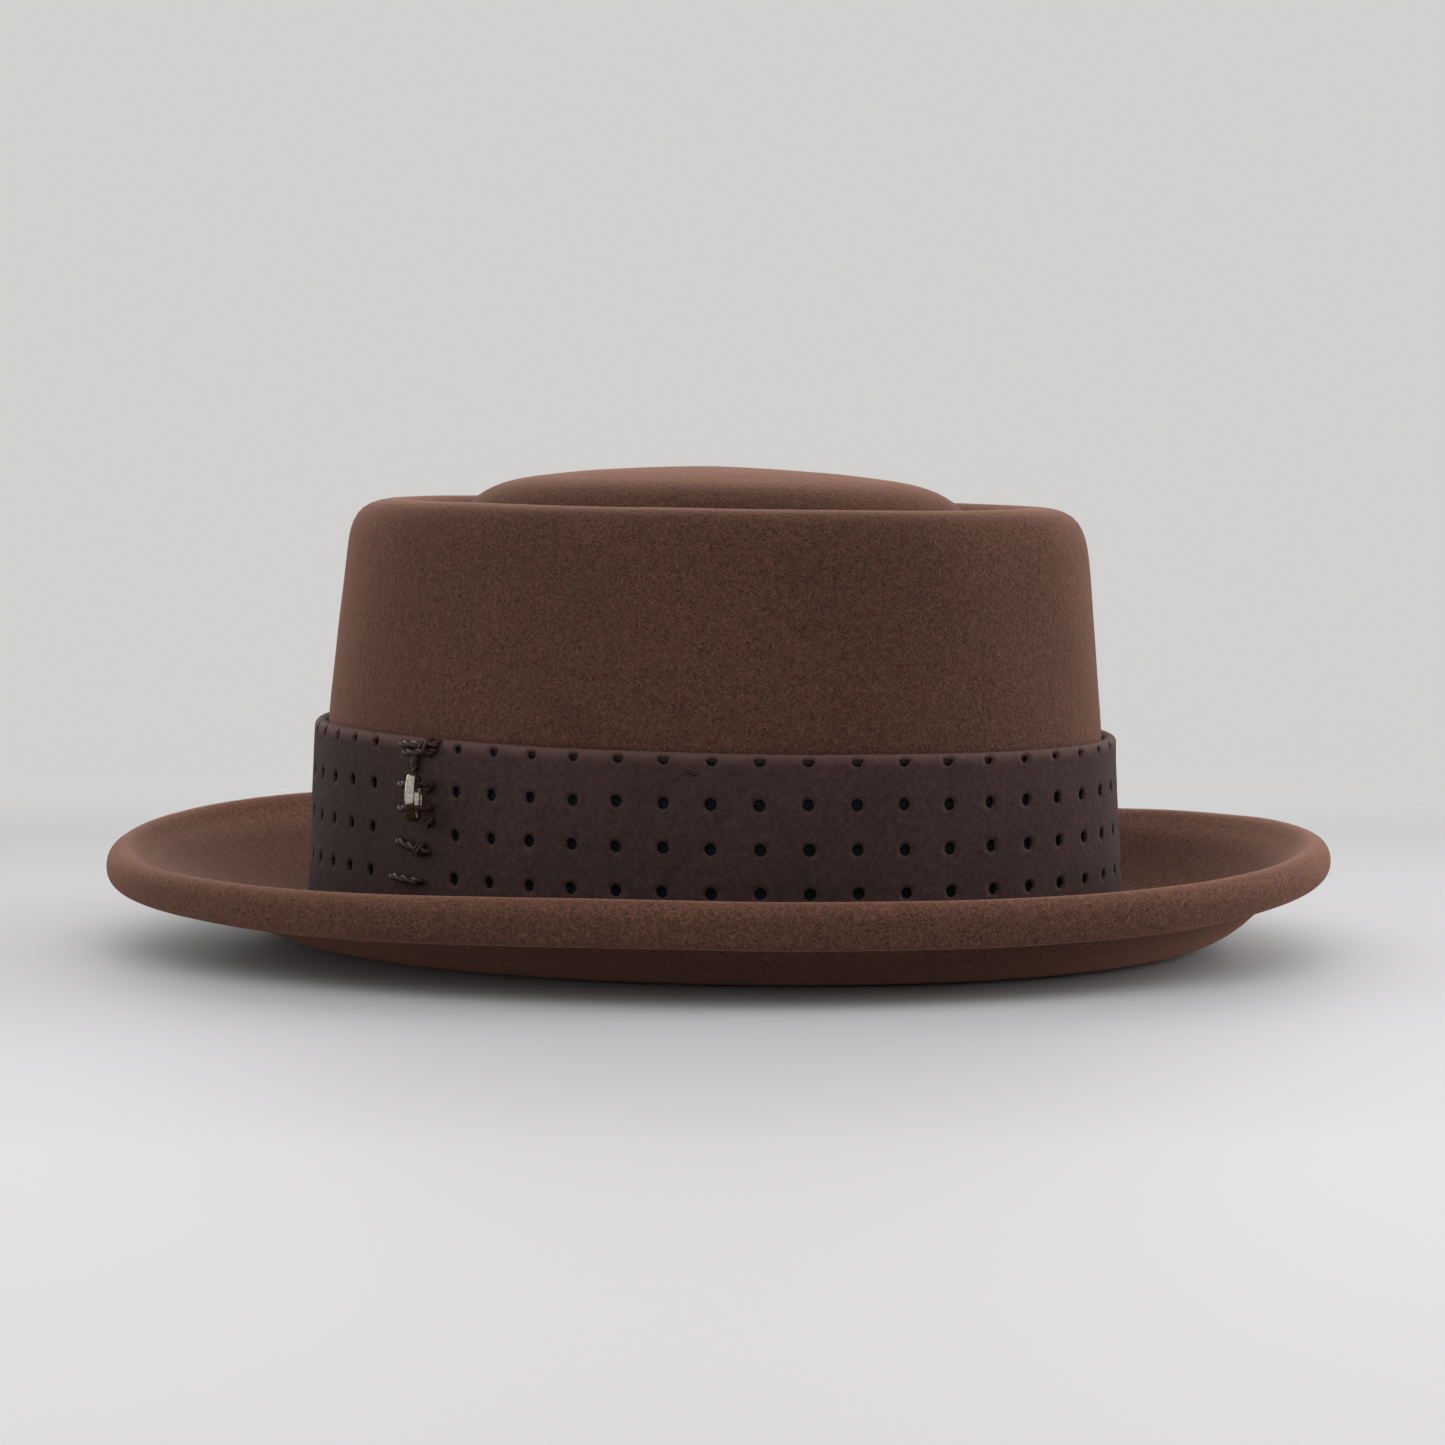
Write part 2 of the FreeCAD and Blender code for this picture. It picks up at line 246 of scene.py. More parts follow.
cloud_tone = blend_colours(felt_material, cloud.outputs["Fac"], grey(0.93), [1.07, 1.05, 1.03, 1.0],
                           0.35, 0.65)
base = mixed_colour(felt_material, 1.0, base, cloud_tone, blend_type="MULTIPLY")
red_part = blend_colours(felt_material, red_hairs.outputs["Fac"], grey(0.0), grey(0.55), 0.6, 0.7)
base = mixed_colour(felt_material, red_part, base, colour("80493d"))
pale_part = blend_colours(felt_material, pale_hairs.outputs["Fac"], grey(0.0), grey(0.5), 0.66, 0.74)
base = mixed_colour(felt_material, pale_part, base, colour("ad8e7e"))
# painted light: the rolled edge, 18 to 36 mm up, is made up to 1.5 times lighter
split = add(felt_material, "SeparateXYZ", {"Vector": here})
level = add(felt_material, "MapRange", {"Value": split.outputs["Z"], "From Min": 0.0,
                                        "From Max": 50.0 * MM})
painted_roll_light = add(felt_material, "ValToRGB", {"Fac": level.outputs["Result"]})
steps = painted_roll_light.color_ramp.elements
steps[0].position, steps[0].color = 0.36, grey(1.0)
steps[1].position, steps[1].color = 0.72, grey(1.0)
for position in (0.43, 0.58):
    steps.new(position).color = [1.5, 1.46, 1.45, 1.0]
base = mixed_colour(felt_material, 1.0, base, painted_roll_light.outputs["Color"], blend_type="MULTIPLY")
fine_bump = add(felt_material, "Bump", {"Strength": 0.55, "Distance": 0.25 * MM,
                                        "Height": hairs.outputs["Fac"]})
felt_bump = add(felt_material, "Bump", {"Strength": 0.5, "Distance": 0.5 * MM,
                                        "Height": clumps.outputs["Fac"],
                                        "Normal": fine_bump.outputs["Normal"]})
set_inputs(felt_material, shader, Base_Color=base, Roughness=0.95, IOR=1.45, Specular_IOR_Level=0.2,
           Sheen_Weight=0.56, Sheen_Roughness=0.35, Sheen_Tint=colour("d89c84"),
           Normal=felt_bump.outputs["Normal"])
print("felt grain 0.6 mm")

# %% [markdown]
# ## The felt body
# The body is one closed shell: the outside from the middle of the top, down the crown, across the brim
# and over the rolled edge to its cut lip, then the inside all the way back. Each line of the table is
# a level that the ring of edges is pulled to. The brim's bowl is steeper at the back of the hat.

# %% Levels of the felt, outside and inside
ROLL_OUTSIDE = [(44.4, 20.9), (45.6, 22.3), (47.2, 23.4), (49.0, 23.8), (51.0, 23.2), (52.5, 21.6),
                (53.2, 19.4), (53.4, 17.0), (53.1, 15.0), (52.4, 13.4)]
ROLL_INSIDE = [(45.2, 19.8), (46.6, 21.0), (48.2, 21.5), (49.7, 21.1), (50.8, 19.8), (51.4, 17.6),
               (51.2, 15.2), (50.5, 13.0)]
BOWL = [11.0, 16.0, 21.0, 26.0, 31.0, 36.0, 40.0, 43.6]
BREAK_OUTSIDE = [(0.05, 8.5), (0.4, 6.6), (1.4, 4.6), (3.2, 3.05), (5.6, 2.35), (8.0, 2.2)]
BREAK_INSIDE = [(-2.15, 8.6), (-1.75, 5.6), (-0.6, 3.1), (1.6, 1.1), (4.4, 0.15), (7.5, 0.0)]
CROWN = [(0.0, 8.5), (1.0, 30.0), (2.1, 55.0), (3.9, 75.0), (5.7, 92.0), (6.3, 97.2), (7.4, 101.8),
         (9.9, 105.1), (13.7, 106.7), (18.4, 107.3), (22.6, 106.4), (25.8, 104.2), (28.2, 101.6),
         (30.4, 99.9), (32.6, 100.7), (34.2, 102.7), (35.8, 105.1), (38.2, 107.8), (42.6, 110.4),
         (47.0, 111.9), (52.0, 112.9), (65.6, 114.5), (81.8, 115.5), (93.0, 115.9)]


def denser(run, longest):
    """Adds levels where neighbours are further apart than longest."""
    full = [run[0]]
    for before, after in zip(run[:-1], run[1:]):
        parts = max(1, math.ceil(math.dist(before, after) / longest))
        full += [tuple(a + (b - a) * part / parts for a, b in zip(before, after))
                 for part in range(1, parts + 1)]
    return full


def sunk(run, depth):
    """The same run, moved square to itself into the felt."""
    moved = []
    for number, (inset, height) in enumerate(run):
        before, after = run[max(0, number - 1)], run[min(len(run) - 1, number + 1)]
        across, up = after[0] - before[0], after[1] - before[1]
        size = math.hypot(across, up)
        moved.append((inset + depth * up / size, height - depth * across / size))
    return moved


LIP_LIFT, LIP_TURN = 0.27, 0.73
crown_levels = denser(CROWN, 7.0)
print(len(crown_levels), "levels on the crown")


# %% Pull the felt
def bowl(offset, turn, lift):
    """A point on the brim's bowl, lift above its underside."""
    power = max(1.25, 2.15 + 1.05 * math.cos(turn) + 0.7 * math.sin(turn))
    along = max(0.0, (offset - BOWL_START) / BOWL_WIDTH)
    height, slope = BOWL_RISE * along ** power, power * BOWL_RISE / BOWL_WIDTH * along ** (power - 1.0)
    across = math.hypot(1.0, slope)
    return offset - lift * slope / across, height + lift / across


felt_levels = [(-inset, height, None) for inset, height in reversed(crown_levels)]
felt_levels += [(offset, height, None) for offset, height in BREAK_OUTSIDE[1:]]
felt_levels += [(offset, None, FELT) for offset in BOWL]
felt_levels += [(offset, height, None) for offset, height in ROLL_OUTSIDE]
felt_levels += [(offset, height, None) for offset, height in reversed(ROLL_INSIDE)]
felt_levels += [(offset, None, 0.0) for offset in reversed(BOWL)]
felt_levels += [(offset, height, None) for offset, height in reversed(BREAK_INSIDE[1:])]
felt_levels += [(-inset, height, None) for inset, height in sunk(crown_levels, FELT)]


def hand_made(point, amount):
    """Blocking and brushing leave the surface a little uneven."""
    waves = noise.noise(point * 22.0) + 0.5 * noise.noise(point * 55.0)
    return waves * amount * MM


def felt_place(step, turn):
    offset, height, lift = felt_levels[step]
    if height is None:
        offset, height = bowl(offset, turn, lift)
    elif offset > CREST + 0.5:
        # the rolled edge is thinner at the back right and the front left
        height += LIP_LIFT * (CREST_HEIGHT - height) * math.cos(turn - LIP_TURN) ** 4
    point = place(offset, height, turn)
    on_wall = limited((-offset + 2.0) / 4.0) * limited((height - 45.0) / 20.0)
    on_brim = limited((offset - 12.0) / 20.0)
    level = Vector((point.x, point.y, 0.0)).normalized()
    point += level * hand_made(point, 0.30 * on_wall)
    point.z += hand_made(point * 0.7, 0.30 * on_brim + 0.25 * on_wall)
    return point


bm, top_ring, under_ring = pulled_ring(len(felt_levels), 144, felt_place)
for ring in (top_ring, under_ring):
    middle = bmesh.ops.extrude_edge_only(bm, edges=ring)["geom"]
    verts = [item for item in middle if isinstance(item, bmesh.types.BMVert)]
    bmesh.ops.pointmerge(bm, verts=verts, merge_co=sum((vert.co for vert in verts), Vector()) / len(verts))
felt_body = finish_piece(bm, "felt_shell", felt_material, "hat")
add_modifier(felt_body, "SUBSURF", levels=1, render_levels=1)
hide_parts("felt_body")

# %% [markdown]
# ## The band
# The band is a strip punched flat with even rows of holes, then folded over at its top and bottom edge.
# The outer rows sit right on the folds, so their holes bend over the edge. It is made the same way here:
# a flat grid, one hole to a cell, then bent round the crown. A thickness is given last, so that each
# hole has a crisp wall.

# %% Sizes of the band, and walking along it
BAND_TOP, BAND_BOTTOM, BAND_OUT = 52.3, 8.5, 3.4
COVER, SOFT_GAP, HOLE = 1.1, 0.12, 1.4
HOLE_ROWS = [10.1, 20.2, 30.4, 40.6, 50.7]
COLUMNS = 54
SEAM = math.radians(-94.0)
GAP_BACK, GAP_FRONT = 14.8, 17.2
FOLD = (BAND_OUT - SOFT_GAP) / 2.0
top_fold, bottom_fold = BAND_TOP - FOLD, BAND_BOTTOM + FOLD


def wall(height):
    """Where the felt's outside is at this height."""
    for before, after in zip(CROWN[:-1], CROWN[1:]):
        if before[1] <= height <= after[1]:
            share = (height - before[1]) / (after[1] - before[1])
            return -(before[0] + share * (after[0] - before[0]))
    return 0.0


def band_point(turn, height, lift):
    return place(wall(height) + BAND_OUT + lift, height, turn)


walk_turns = [SEAM + 2.0 * math.pi * number / 1440 for number in range(1441)]
walked = [0.0]
for before, after in zip(walk_turns[:-1], walk_turns[1:]):
    walked.append(walked[-1] + (band_point(after, 30.0, 0.0) - band_point(before, 30.0, 0.0)).length / MM)
band_length = walked[-1]


def turn_along(distance):
    """The turn this far along the band from its seam, towards the back of the hat."""
    distance = distance % band_length
    after = min(1440, max(1, bisect.bisect(walked, distance)))
    share = (distance - walked[after - 1]) / (walked[after] - walked[after - 1])
    return walk_turns[after - 1] + share * (walk_turns[after] - walk_turns[after - 1])


pitch = (band_length - GAP_BACK - GAP_FRONT) / (COLUMNS - 1)
print("band", round(band_length, 1), "mm round, holes every", round(pitch, 2), "mm")

# %% Cut the flat strip into cells
GAP_CELLS = 4
cell_edges = [GAP_BACK + pitch * (column / 2.0 - 0.5) for column in range(2 * COLUMNS + 1)]
gap = band_length - COLUMNS * pitch
cell_edges += [cell_edges[-1] + gap * part / GAP_CELLS for part in range(1, GAP_CELLS + 1)]
row_edges = [HOLE_ROWS[0] - 5.05]
for row, height in enumerate(HOLE_ROWS):
    upper = (height + HOLE_ROWS[row + 1]) / 2.0 if row < 4 else height + 5.05
    row_edges += [height, upper]
row_edges = [row_edges[0] - 3.2] + row_edges + [row_edges[-1] + 3.2]
bm = bmesh.new()
across, up = len(cell_edges) - 1, len(row_edges) - 1
bmesh.ops.create_grid(bm, x_segments=across, y_segments=up, size=1.0)
centres = []
for vert in bm.verts:
    column = round((vert.co.x + 1.0) / 2.0 * across)
    row = round((vert.co.y + 1.0) / 2.0 * up)
    vert.co = Vector((cell_edges[column], row_edges[row], 0.0))
    if column % 2 == 1 and column < 2 * COLUMNS and row % 2 == 0 and 1 < row < up - 1:
        centres.append(vert)
print(len(bm.faces), "cells,", len(centres), "holes to punch")

# %% Punch the holes
bmesh.ops.dissolve_verts(bm, verts=centres)
cells = [face for face in bm.faces if len(face.verts) == 8]
bmesh.ops.inset_individual(bm, faces=cells, thickness=2.0, depth=0.0)
random.seed(4)
holes = []
for face in cells:
    middle = face.calc_center_median()
    middle += Vector((random.uniform(-0.12, 0.12), random.uniform(-0.12, 0.12), 0.0))
    holes.append((middle, HOLE * random.uniform(0.96, 1.03)))
    for vert in face.verts:
        vert.co = middle + (vert.co - middle).normalized() * holes[-1][1]
bmesh.ops.delete(bm, geom=cells, context="FACES")
bmesh.ops.subdivide_edges(bm, edges=bm.edges, cuts=3, use_grid_fill=True)
rim_verts = {vert for edge in bm.edges if edge.is_boundary for vert in edge.verts}
low_row, high_row = min(row_edges), max(row_edges)
for vert in rim_verts:
    inside_up = low_row + 0.5 < vert.co.y < high_row - 0.5
    if inside_up and cell_edges[0] + 0.5 < vert.co.x < cell_edges[-1] - 0.5:
        middle, size = min(holes, key=lambda hole: (hole[0] - vert.co).length_squared)
        vert.co = middle + (vert.co - middle).normalized() * size
print(len(bm.faces), "faces in the flat strip")


# %% Fold it and bend it round the crown
def band_fold(along):
    """Flat distance up the strip, to distance out from the felt and height."""
    half_turn = math.pi * FOLD
    if along > top_fold:
        past = along - top_fold
        if past > half_turn:
            return SOFT_GAP, top_fold - (past - half_turn)
        return BAND_OUT - FOLD + FOLD * math.cos(past / FOLD), top_fold + FOLD * math.sin(past / FOLD)
    if along < bottom_fold:
        past = bottom_fold - along
        if past > half_turn:
            return SOFT_GAP, bottom_fold + (past - half_turn)
        return BAND_OUT - FOLD + FOLD * math.cos(past / FOLD), bottom_fold - FOLD * math.sin(past / FOLD)
    return BAND_OUT, along


strip = bm.loops.layers.uv.new("strip")
for face in bm.faces:
    for loop in face.loops:
        loop[strip].uv = loop.vert.co.xy * MM
for vert in bm.verts:
    distance, along = vert.co.x, vert.co.y
    out, height = band_fold(along)
    flat_part = limited(out - 1.0)
    turn = turn_along(distance)
    loose = noise.noise(place(0.0, height * 1.5, turn) * 45.0)
    wave = noise.noise(place(0.0, 0.0, turn) * 28.0 + Vector((0.0, 0.0, 3.0)))
    vert.co = place(wall(height) + out + 0.24 * loose * flat_part, height, turn)
    vert.co.z += 0.22 * wave * limited((along - 30.0) / 15.0) * MM
bmesh.ops.remove_doubles(bm, verts=bm.verts, dist=0.02 * MM)
print("band bent, open edges:", sum(edge.is_boundary for edge in bm.edges))

# %% [markdown]
# ### What the band is made of
# The band is a soft matt strip, plum brown, with a fine twilled grain that shows as small pale points.
# It is lighter from just below its top fold onwards. The pattern follows the strip itself, so it reads
# the strip's own map, in metres. Twill lines run at a slant, 0.55 mm apart. Painted shade darkens the
# strip along its length: on the side towards the back and near the seam's front end.

# %% Matt twilled band
band_material, shader, spot = new_material("matt_twilled_band")
strip_map = add(band_material, "UVMap", {}, uv_map="strip").outputs["UV"]
slanted = add(band_material, "Mapping", {"Vector": strip_map, "Rotation": (0.0, 0.0, math.radians(38.0))})
twill = add(band_material, "TexWave", {"Vector": slanted.outputs["Vector"],
                                       "Scale": 1.0 / (0.55 * MM) / 3.18, "Distortion": 1.2,
                                       "Detail": 2.0, "Detail Scale": 1.5},
            wave_type="BANDS", bands_direction="X")
cross = add(band_material, "Mapping", {"Vector": strip_map, "Rotation": (0.0, 0.0, math.radians(-52.0))})
pebble = add(band_material, "TexVoronoi", {"Vector": cross.outputs["Vector"], "Scale": 1.0 / (0.75 * MM)})
dust = grain(band_material, spot.outputs["Object"], 1.4, 4.0, 0.7)
worn = grain(band_material, spot.outputs["Object"], 16.0, 3.0, 0.55)
split = add(band_material, "SeparateXYZ", {"Vector": strip_map})
near_top = add(band_material, "MapRange", {"Value": split.outputs["Y"], "From Min": 49.2 * MM,
                                           "From Max": 52.0 * MM, "To Min": 0.0, "To Max": 1.0})
base = blend_colours(band_material, dust.outputs["Fac"], colour("2c2223"), colour("4f3e3f"), 0.3, 0.72)
worn_tone = blend_colours(band_material, worn.outputs["Fac"], grey(0.88), [1.15, 1.12, 1.12, 1.0],
                          0.3, 0.7)
base = mixed_colour(band_material, 1.0, base, worn_tone, blend_type="MULTIPLY")
# painted shade: the band is darkened along its length, towards the back and near the seam's front end
length_share = add(band_material, "MapRange", {"Value": split.outputs["X"], "From Min": 0.0,
                                               "From Max": band_length * MM})
painted_band_shade = add(band_material, "ValToRGB", {"Fac": length_share.outputs["Result"]})
steps = painted_band_shade.color_ramp.elements
steps[0].position, steps[0].color = 0.015, [0.9, 0.88, 0.88, 1.0]
steps[1].position, steps[1].color = 1.0, [0.9, 0.88, 0.88, 1.0]
for position, tone in ((0.05, 1.0), (0.2, 1.0), (0.27, 0.78), (0.6, 0.82), (0.95, 0.62)):
    steps.new(position).color = [tone, tone * 0.97, tone * 0.97, 1.0]
base = mixed_colour(band_material, 1.0, base, painted_band_shade.outputs["Color"], blend_type="MULTIPLY")
points = blend_colours(band_material, twill.outputs["Fac"], grey(0.0), grey(0.5), 0.45, 0.95)
base = mixed_colour(band_material, points, base, colour("705854"))
# lighter from just below the top fold, over the fold and down the hem behind it
fold_part = add(band_material, "Math", {0: near_top.outputs["Result"], 1: 0.55}, operation="MULTIPLY")
base = mixed_colour(band_material, fold_part.outputs["Value"], base, colour("7c615c"))
twill_bump = add(band_material, "Bump", {"Strength": 0.6, "Distance": 0.14 * MM,
                                         "Height": twill.outputs["Fac"]})
band_bump = add(band_material, "Bump", {"Strength": 0.4, "Distance": 0.12 * MM,
                                        "Height": pebble.outputs["Distance"],
                                        "Normal": twill_bump.outputs["Normal"]})
set_inputs(band_material, shader, Base_Color=base, Roughness=0.85, IOR=1.45, Specular_IOR_Level=0.1,
           Normal=band_bump.outputs["Normal"])
band = finish_piece(bm, "perforated_band", band_material, "hat")
add_modifier(band, "SOLIDIFY", thickness=COVER * MM, offset=-1.0, use_even_offset=True)
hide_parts("band_cover")

# %% [markdown]
# ### The dark strip behind the holes
# Through the holes shows a plain dark lining, so they read as black dots. A thin closed ring behind the
# band does it, in a plain weave with 0.6 mm between threads.

# %% Lining strip behind the band
weave_material, shader, spot = new_material("dark_plain_weave")
here = spot.outputs["Object"]
threads = add(weave_material, "TexChecker", {"Vector": here, "Color1": colour("0e1617"),
                                             "Color2": colour("182223"), "Scale": 1.0 / (0.6 * MM)})
fuzz = grain(weave_material, here, 0.5, 2.0)
weave_bump = add(weave_material, "Bump", {"Strength": 0.5, "Distance": 0.1 * MM,
                                          "Height": fuzz.outputs["Fac"]})
set_inputs(weave_material, shader, Base_Color=threads.outputs["Color"], Roughness=0.9,
           Specular_IOR_Level=0.2, Normal=weave_bump.outputs["Normal"])
backing_profile = [(2.09, 10.7), (2.09, 20.0), (2.09, 30.0), (2.09, 40.0), (2.09, 50.1),
                   (1.34, 50.1), (1.34, 40.0), (1.34, 30.0), (1.34, 20.0), (1.34, 10.7)]


def backing_place(step, turn):
    out, height = backing_profile[step]
    return place(wall(height) + out, height, turn)


bm, first, last = pulled_ring(len(backing_profile), 96, backing_place, closed=True)
backing = finish_piece(bm, "backing_strip", weave_material, "hat", smooth=False)
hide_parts("band_backing")

# %% [markdown]
# ## Thread
# The ends of the band are sewn with thick waxed thread: two plies twisted together, dark and a little
# shiny. A flat disc of vertices pulled along a path, while the path itself winds round the stitch's
# middle line, gives one ply; two of them make the thread.


# %% A twisted thread along a line of points
def thread_along(bm, points, width, plies=2, lay=7.5):
    """Sweeps the plies of one thread along smooth points in metres; lay is the twist's length in mm."""
    lengths = [0.0]
    for before, after in zip(points[:-1], points[1:]):
        lengths.append(lengths[-1] + (after - before).length)
    steps = max(6, int(lengths[-1] / (0.28 * MM)))
    line = []
    for step in range(steps + 1):
        goal = lengths[-1] * step / steps
        after = min(len(points) - 1, max(1, bisect.bisect(lengths, goal)))
        share = (goal - lengths[after - 1]) / max(1e-9, lengths[after] - lengths[after - 1])
        line.append(points[after - 1].lerp(points[after], share))
    radius = width * MM / 2.0
    ply = radius * (0.62 if plies > 1 else 1.0)
    for number in range(plies):
        disc = bmesh.ops.create_circle(bm, cap_ends=True, segments=8, radius=ply)["verts"]
        ring = list({edge for vert in disc for edge in vert.link_edges})
        side = Vector((0.0, 0.0, 1.0))
        previous = None
        for step, middle in enumerate(line):
            ahead = (line[min(steps, step + 1)] - line[max(0, step - 1)]).normalized()
            side = (side - ahead * side.dot(ahead)).normalized()
            over = ahead.cross(side)
            phase = 2.0 * math.pi * (lengths[-1] * step / steps / (lay * MM) + number / plies)
            reach = 0.0 if plies == 1 else radius - ply
            centre = middle + (side * math.cos(phase) + over * math.sin(phase)) * reach
            turned = Matrix((side, over, ahead)).transposed().to_4x4()
            turned.translation = centre
            if step:
                made = bmesh.ops.extrude_edge_only(bm, edges=ring)["geom"]
                disc = [item for item in made if isinstance(item, bmesh.types.BMVert)]
                fresh = set(disc)
                ring = [item for item in made if isinstance(item, bmesh.types.BMEdge)
                        and item.verts[0] in fresh and item.verts[1] in fresh]
                bmesh.ops.transform(bm, matrix=turned @ previous.inverted(), verts=disc)
            else:
                bmesh.ops.transform(bm, matrix=turned, verts=disc)
            previous = turned
        bmesh.ops.contextual_create(bm, geom=ring)


def curved(points, parts=8):
    """A smooth line through a few points."""
    line = []
    for number in range(len(points) - 1):
        a = points[max(0, number - 1)]
        b, c = points[number], points[number + 1]
        d = points[min(len(points) - 1, number + 2)]
        for part in range(parts):
            t = part / parts
            line.append(0.5 * (2.0 * b + (c - a) * t + (2.0 * a - 5.0 * b + 4.0 * c - d) * t ** 2
                               + (3.0 * b - a - 3.0 * c + d) * t ** 3))
    return line + [points[-1]]


def on_band(distance, height, lift):
    """A point by the seam: distance along the band, height, and lift off it."""
    return band_point(turn_along(distance), height, lift)


# %% Waxed thread
thread_material, shader, spot = new_material("waxed_linen_thread")
here = spot.outputs["Object"]
fibres = grain(thread_material, here, 0.35, 3.0, 0.6)
base = blend_colours(thread_material, fibres.outputs["Fac"], colour("241315"), colour("4c2a2c"), 0.3, 0.75)
thread_bump = add(thread_material, "Bump", {"Strength": 0.4, "Distance": 0.06 * MM,
                                            "Height": fibres.outputs["Fac"]})
set_inputs(thread_material, shader, Base_Color=base, Roughness=0.5, IOR=1.5, Specular_IOR_Level=0.3,
           Coat_Weight=0.12, Coat_Roughness=0.2, Normal=thread_bump.outputs["Normal"])


# %% The stitches of the seam
def stitch(bm, first, last, width, crown_lift=0.0):
    """Rises out of the band, lies across it and dives back in."""
    ends = [Vector((*first, 0.0)), Vector((*last, 0.0))]
    along = (ends[1] - ends[0]).normalized()
    lift = width / 2.0
    route = []
    # share of the way, height off the band, and how far past that place
    stops = [(0, -1.0, 0.15), (0, lift * 0.6, 0.0), (0, lift + 0.2, 0.9),
             (0.5, lift + 0.25 + crown_lift, 0),
             (1, lift + 0.2, -0.9), (1, lift * 0.6, 0.0), (1, -1.0, -0.15)]
    for share, out, past in stops:
        spot_flat = ends[0].lerp(ends[1], share) + along * past
        route.append(on_band(spot_flat.x, spot_flat.y, out))
    thread_along(bm, curved(route), width)


def wraps(bm, middle, axis, reach, width, turns, spread):
    """Turns of thread wound round a stitch: middle and axis as (distance, height)."""
    route = []
    count = int(turns * 14)
    for number in range(count + 1):
        phase = 2.0 * math.pi * turns * number / count
        slide = spread * (number / count - 0.5)
        across = reach * math.sin(phase)
        distance = middle[0] + axis[0] * slide - axis[1] * across
        height = middle[1] + axis[1] * slide + axis[0] * across
        route.append(on_band(distance, height, 0.75 + reach * math.cos(phase)))
    thread_along(bm, route, width)


bm = bmesh.new()
stitch(bm, (-3.9, 50.8), (8.4, 51.4), 1.9, 0.1)
stitch(bm, (-2.6, 48.9), (7.6, 49.7), 1.9, 0.2)
wraps(bm, (5.9, 50.4), (1.0, 0.1), 1.7, 1.5, 1.6, 2.2)
top_stitch = finish_piece(bm, "top_stitches", thread_material, "hat")
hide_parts("seam_stitch_top")
bm = bmesh.new()
thread_along(bm, curved([on_band(1.6, 49.2, 0.9), on_band(2.2, 47.9, 1.4), on_band(0.7, 46.9, 1.3),
                         on_band(1.9, 45.9, 1.3), on_band(1.0, 44.9, 1.1)]), 1.35)
thread_along(bm, curved([on_band(1.0, 49.2, 0.9), on_band(0.3, 47.8, 1.1), on_band(1.8, 46.7, 1.4),
                         on_band(0.5, 45.7, 1.0), on_band(1.3, 44.7, 0.7)]), 1.35)
chain = finish_piece(bm, "seam_twist", thread_material, "hat")
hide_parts("seam_chain")
bm = bmesh.new()
stitch(bm, (-3.9, 28.2), (6.3, 26.2), 2.1, 0.2)
wraps(bm, (4.6, 26.6), (1.0, -0.2), 1.35, 1.2, 1.6, 1.4)
middle_stitch = finish_piece(bm, "middle_stitch", thread_material, "hat")
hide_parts("seam_stitch_middle")
bm = bmesh.new()
stitch(bm, (-5.9, 19.9), (4.1, 19.2), 2.1, 0.2)
bottom_stitch = finish_piece(bm, "bottom_stitch", thread_material, "hat")
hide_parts("seam_stitch_bottom")
bm = bmesh.new()
tack = math.radians(-52.0)
thread_along(bm, curved([band_point(tack - 0.014, 48.2, -0.4), band_point(tack - 0.008, 47.9, 0.35),
                         band_point(tack + 0.006, 47.4, 0.35), band_point(tack + 0.012, 47.1, -0.4)]), 0.7)
tack_stitch = finish_piece(bm, "band_tack_stitch", thread_material, "hat")
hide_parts("band_tack")

# %% [markdown]
# ## The ring and its loops
# The ring is a short length of nickel-plated tube with rounded edges, polished. It hangs on two
# thread loops and swings about the upright line through them. A small rounded section spun full circle
# makes it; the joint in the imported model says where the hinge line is.

# %% Polished nickel
nickel_material, shader, spot = new_material("polished_nickel_plate")
here = spot.outputs["Object"]
scuffs = grain(nickel_material, here, 0.8, 5.0, 0.7)
scratches = add(nickel_material, "Mapping", {"Vector": here, "Scale": (1.0, 1.0, 9.0)})
lines = grain(nickel_material, scratches.outputs["Vector"], 1.2, 4.0, 0.7)
tarnish = blend_colours(nickel_material, scuffs.outputs["Fac"], colour("958d82"), colour("c9c3b9"),
                        0.32, 0.6)
rough = add(nickel_material, "MapRange", {"Value": lines.outputs["Fac"], "From Min": 0.3, "From Max": 0.7,
                                          "To Min": 0.06, "To Max": 0.2})
nickel_bump = add(nickel_material, "Bump", {"Strength": 0.25, "Distance": 0.03 * MM,
                                            "Height": lines.outputs["Fac"]})
set_inputs(nickel_material, shader, Base_Color=tarnish, Metallic=1.0, Roughness=rough.outputs["Result"],
           Normal=nickel_bump.outputs["Normal"])

# %% Spin the ring
hinge = Vector(frame["joints"][0]["pos_m"])
ring_low, ring_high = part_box("trim_ring")
ring_middle = (Vector(ring_low) + Vector(ring_high)) / 2.0
reach = (ring_middle - hinge).normalized()
ring_axis = reach.cross(Vector((0.0, 0.0, 1.0)))
RING_OUTER, RING_INNER, RING_WIDTH = 5.8, 4.8, 2.2
bm = bmesh.new()
bmesh.ops.create_grid(bm, x_segments=1, y_segments=1, size=0.5)
bmesh.ops.scale(bm, vec=((RING_OUTER - RING_INNER) * MM, RING_WIDTH * MM, 1.0), verts=bm.verts)
bmesh.ops.bevel(bm, geom=bm.verts[:], offset=0.34 * MM, offset_type="OFFSET", segments=4, profile=0.5,
                affect="VERTICES", material=-1)
bmesh.ops.translate(bm, vec=((RING_OUTER + RING_INNER) / 2.0 * MM, 0.0, 0.0), verts=bm.verts)
section = bm.edges[:]
bmesh.ops.delete(bm, geom=bm.faces[:], context="FACES_ONLY")
